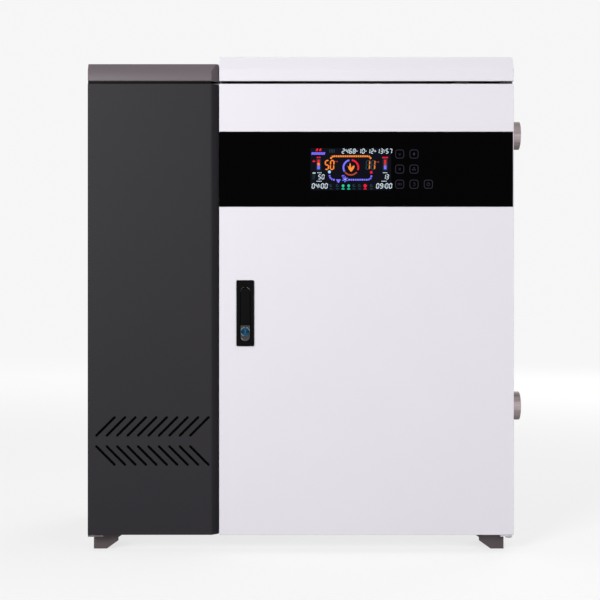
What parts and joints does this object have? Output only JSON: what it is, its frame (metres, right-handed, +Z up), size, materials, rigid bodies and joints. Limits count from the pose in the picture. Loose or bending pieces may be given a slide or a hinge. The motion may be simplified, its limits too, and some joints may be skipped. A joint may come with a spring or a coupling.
{
  "type": "electric heating boiler",
  "caption": "Floor-standing electric heating boiler: dark equipment column with louvres, pale bay behind a hinged door with a control glass, vessel and pump inside.",
  "frame": {"origin": "middle of the whole part's base, at floor level under the feet", "axes": "+Z up, the door faces -Y, the pipe stubs leave along +X"},
  "size_m": [0.714, 0.4266, 0.7948],
  "materials": {
    "dark_paint": "satin powder coat",
    "pale_paint": "satin powder coat",
    "foot_steel": "blackened sheet",
    "galvanised": "zinc coated",
    "zinc_fastener": "zinc plated",
    "black_steel": "black",
    "black_rubber": "matt",
    "filter_foam": "open foam",
    "vessel_steel": "brushed",
    "jacket_foam": "closed foam",
    "element_steel": "annealed",
    "pipe_steel": "turned stainless",
    "pump_iron": "cast, painted",
    "motor_paint": "black",
    "brass": "machined",
    "red_plastic": "moulded",
    "gauge_steel": "pale dial in a steel case",
    "pointer_black": "matt",
    "grey_plastic": "moulded",
    "black_plastic": "moulded",
    "aluminium": "extruded",
    "module_plastic": "moulded",
    "cable_black": "sheathed",
    "control_glass": "black glass, back printed",
    "display": "lit colour display",
    "board": "circuit board",
    "lock_black": "satin black",
    "button_grey": "satin grey",
    "barrel_blue": "blue key barrel"
  },
  "bodies": {
    "cabinet": {"left_side_panel": "dark_paint", "column_front_cover": "dark_paint", "column_top_cap": "dark_paint", "right_side_panel": "pale_paint", "main_top_cap": "pale_paint", "back_panel": "pale_paint", "feet": "foot_steel", "base_pan": "galvanised", "divider_panel": "galvanised", "door_frame": "galvanised", "vessel_stand": "galvanised", "mounting_plate": "galvanised", "foot_bolts": "zinc_fastener", "panel_screws": "zinc_fastener", "mounting_rail": "zinc_fastener", "hinge_pins": "zinc_fastener", "hinge_brackets": "black_steel", "door_seal": "black_rubber", "pipe_grommets": "black_rubber", "air_filter": "filter_foam", "heating_vessel": "vessel_steel", "vessel_foot": "vessel_steel", "heater_lid": "vessel_steel", "vessel_jacket": "jacket_foam", "heating_elements": "element_steel", "outlet_pipe": "pipe_steel", "inlet_pipes": "pipe_steel", "pump_volute": "pump_iron", "pump_motor": "motor_paint", "safety_valve": "brass", "air_vent": "brass", "drain_valve": "brass", "temperature_probes": "brass", "pressure_gauge": "gauge_steel", "circuit_breaker": "grey_plastic", "contactor": "black_plastic", "terminal_block": "black_plastic", "fan_frame": "black_plastic", "cable_gland": "black_plastic", "heat_sink": "aluminium", "power_module": "module_plastic", "power_cables": "cable_black"},
    "door": {"door_shell": "pale_paint", "control_glass": "control_glass", "display_module": "display", "touch_board": "board", "control_box": "galvanised", "hinge_bushes": "brass", "lock_frame": "lock_black", "lever_pin": "zinc_fastener"},
    "latch_cam": {"latch_cam": "zinc_fastener"},
    "lock_lever": {"lock_lever": "lock_black"},
    "lock_button": {"lock_button": "button_grey"},
    "key_barrel": {"key_barrel": "barrel_blue"},
    "fan_rotor": {"fan_rotor": "black_plastic"},
    "pump_rotor": {"pump_rotor": "brass"},
    "breaker_toggle": {"breaker_toggle": "black_plastic"},
    "drain_lever": {"drain_lever": "red_plastic"},
    "gauge_pointer": {"gauge_pointer": "pointer_black"},
    "safety_valve_cap": {"safety_valve_cap": "red_plastic"}
  },
  "joints": [
    {"name": "door_swing", "type": "hinge", "parent": "cabinet", "child": "door", "pos_m": [0.3175, -0.2027, 0.382], "axis": [0, 0, 1], "range_deg": [0, 110]},
    {"name": "lever_lift", "type": "hinge", "parent": "door", "child": "lock_lever", "pos_m": [-0.1048, -0.2057, 0.4176], "axis": [-1, 0, 0], "range_deg": [0, 45]},
    {"name": "cam_turn", "type": "hinge", "parent": "door", "child": "latch_cam", "pos_m": [-0.1048, -0.1843, 0.4176], "axis": [0, 1, 0], "range_deg": [0, 90]},
    {"name": "button_press", "type": "slide", "parent": "door", "child": "lock_button", "axis": [0, 1, 0], "range_m": [0, 0.003], "stiffness_N_per_m": 600},
    {"name": "key_turn", "type": "hinge", "parent": "lock_button", "child": "key_barrel", "pos_m": [-0.1048, -0.2127, 0.3524], "axis": [0, 1, 0], "range_deg": [0, 90]},
    {"name": "fan_spin", "type": "hinge", "parent": "cabinet", "child": "fan_rotor", "pos_m": [-0.244, 0.0678, 0.1875], "axis": [0, 0, 1], "continuous": true},
    {"name": "pump_spin", "type": "hinge", "parent": "cabinet", "child": "pump_rotor", "pos_m": [0.19197, -0.0707, 0.2225], "axis": [0, 1, 0], "continuous": true},
    {"name": "breaker_switch", "type": "hinge", "parent": "cabinet", "child": "breaker_toggle", "pos_m": [-0.244, 0.0623, 0.6523], "axis": [1, 0, 0], "range_deg": [0, 56]},
    {"name": "drain_turn", "type": "hinge", "parent": "cabinet", "child": "drain_lever", "pos_m": [0.04347, -0.1292, 0.1105], "axis": [0, 0, -1], "range_deg": [0, 90]},
    {"name": "pointer_turn", "type": "hinge", "parent": "cabinet", "child": "gauge_pointer", "pos_m": [0.25797, -0.0795, 0.7502], "axis": [0, 1, 0], "range_deg": [0, 240]},
    {"name": "cap_turn", "type": "hinge", "parent": "cabinet", "child": "safety_valve_cap", "pos_m": [0.18597, -0.0707, 0.7492], "axis": [0, 0, 1], "range_deg": [0, 90]}
  ]
}
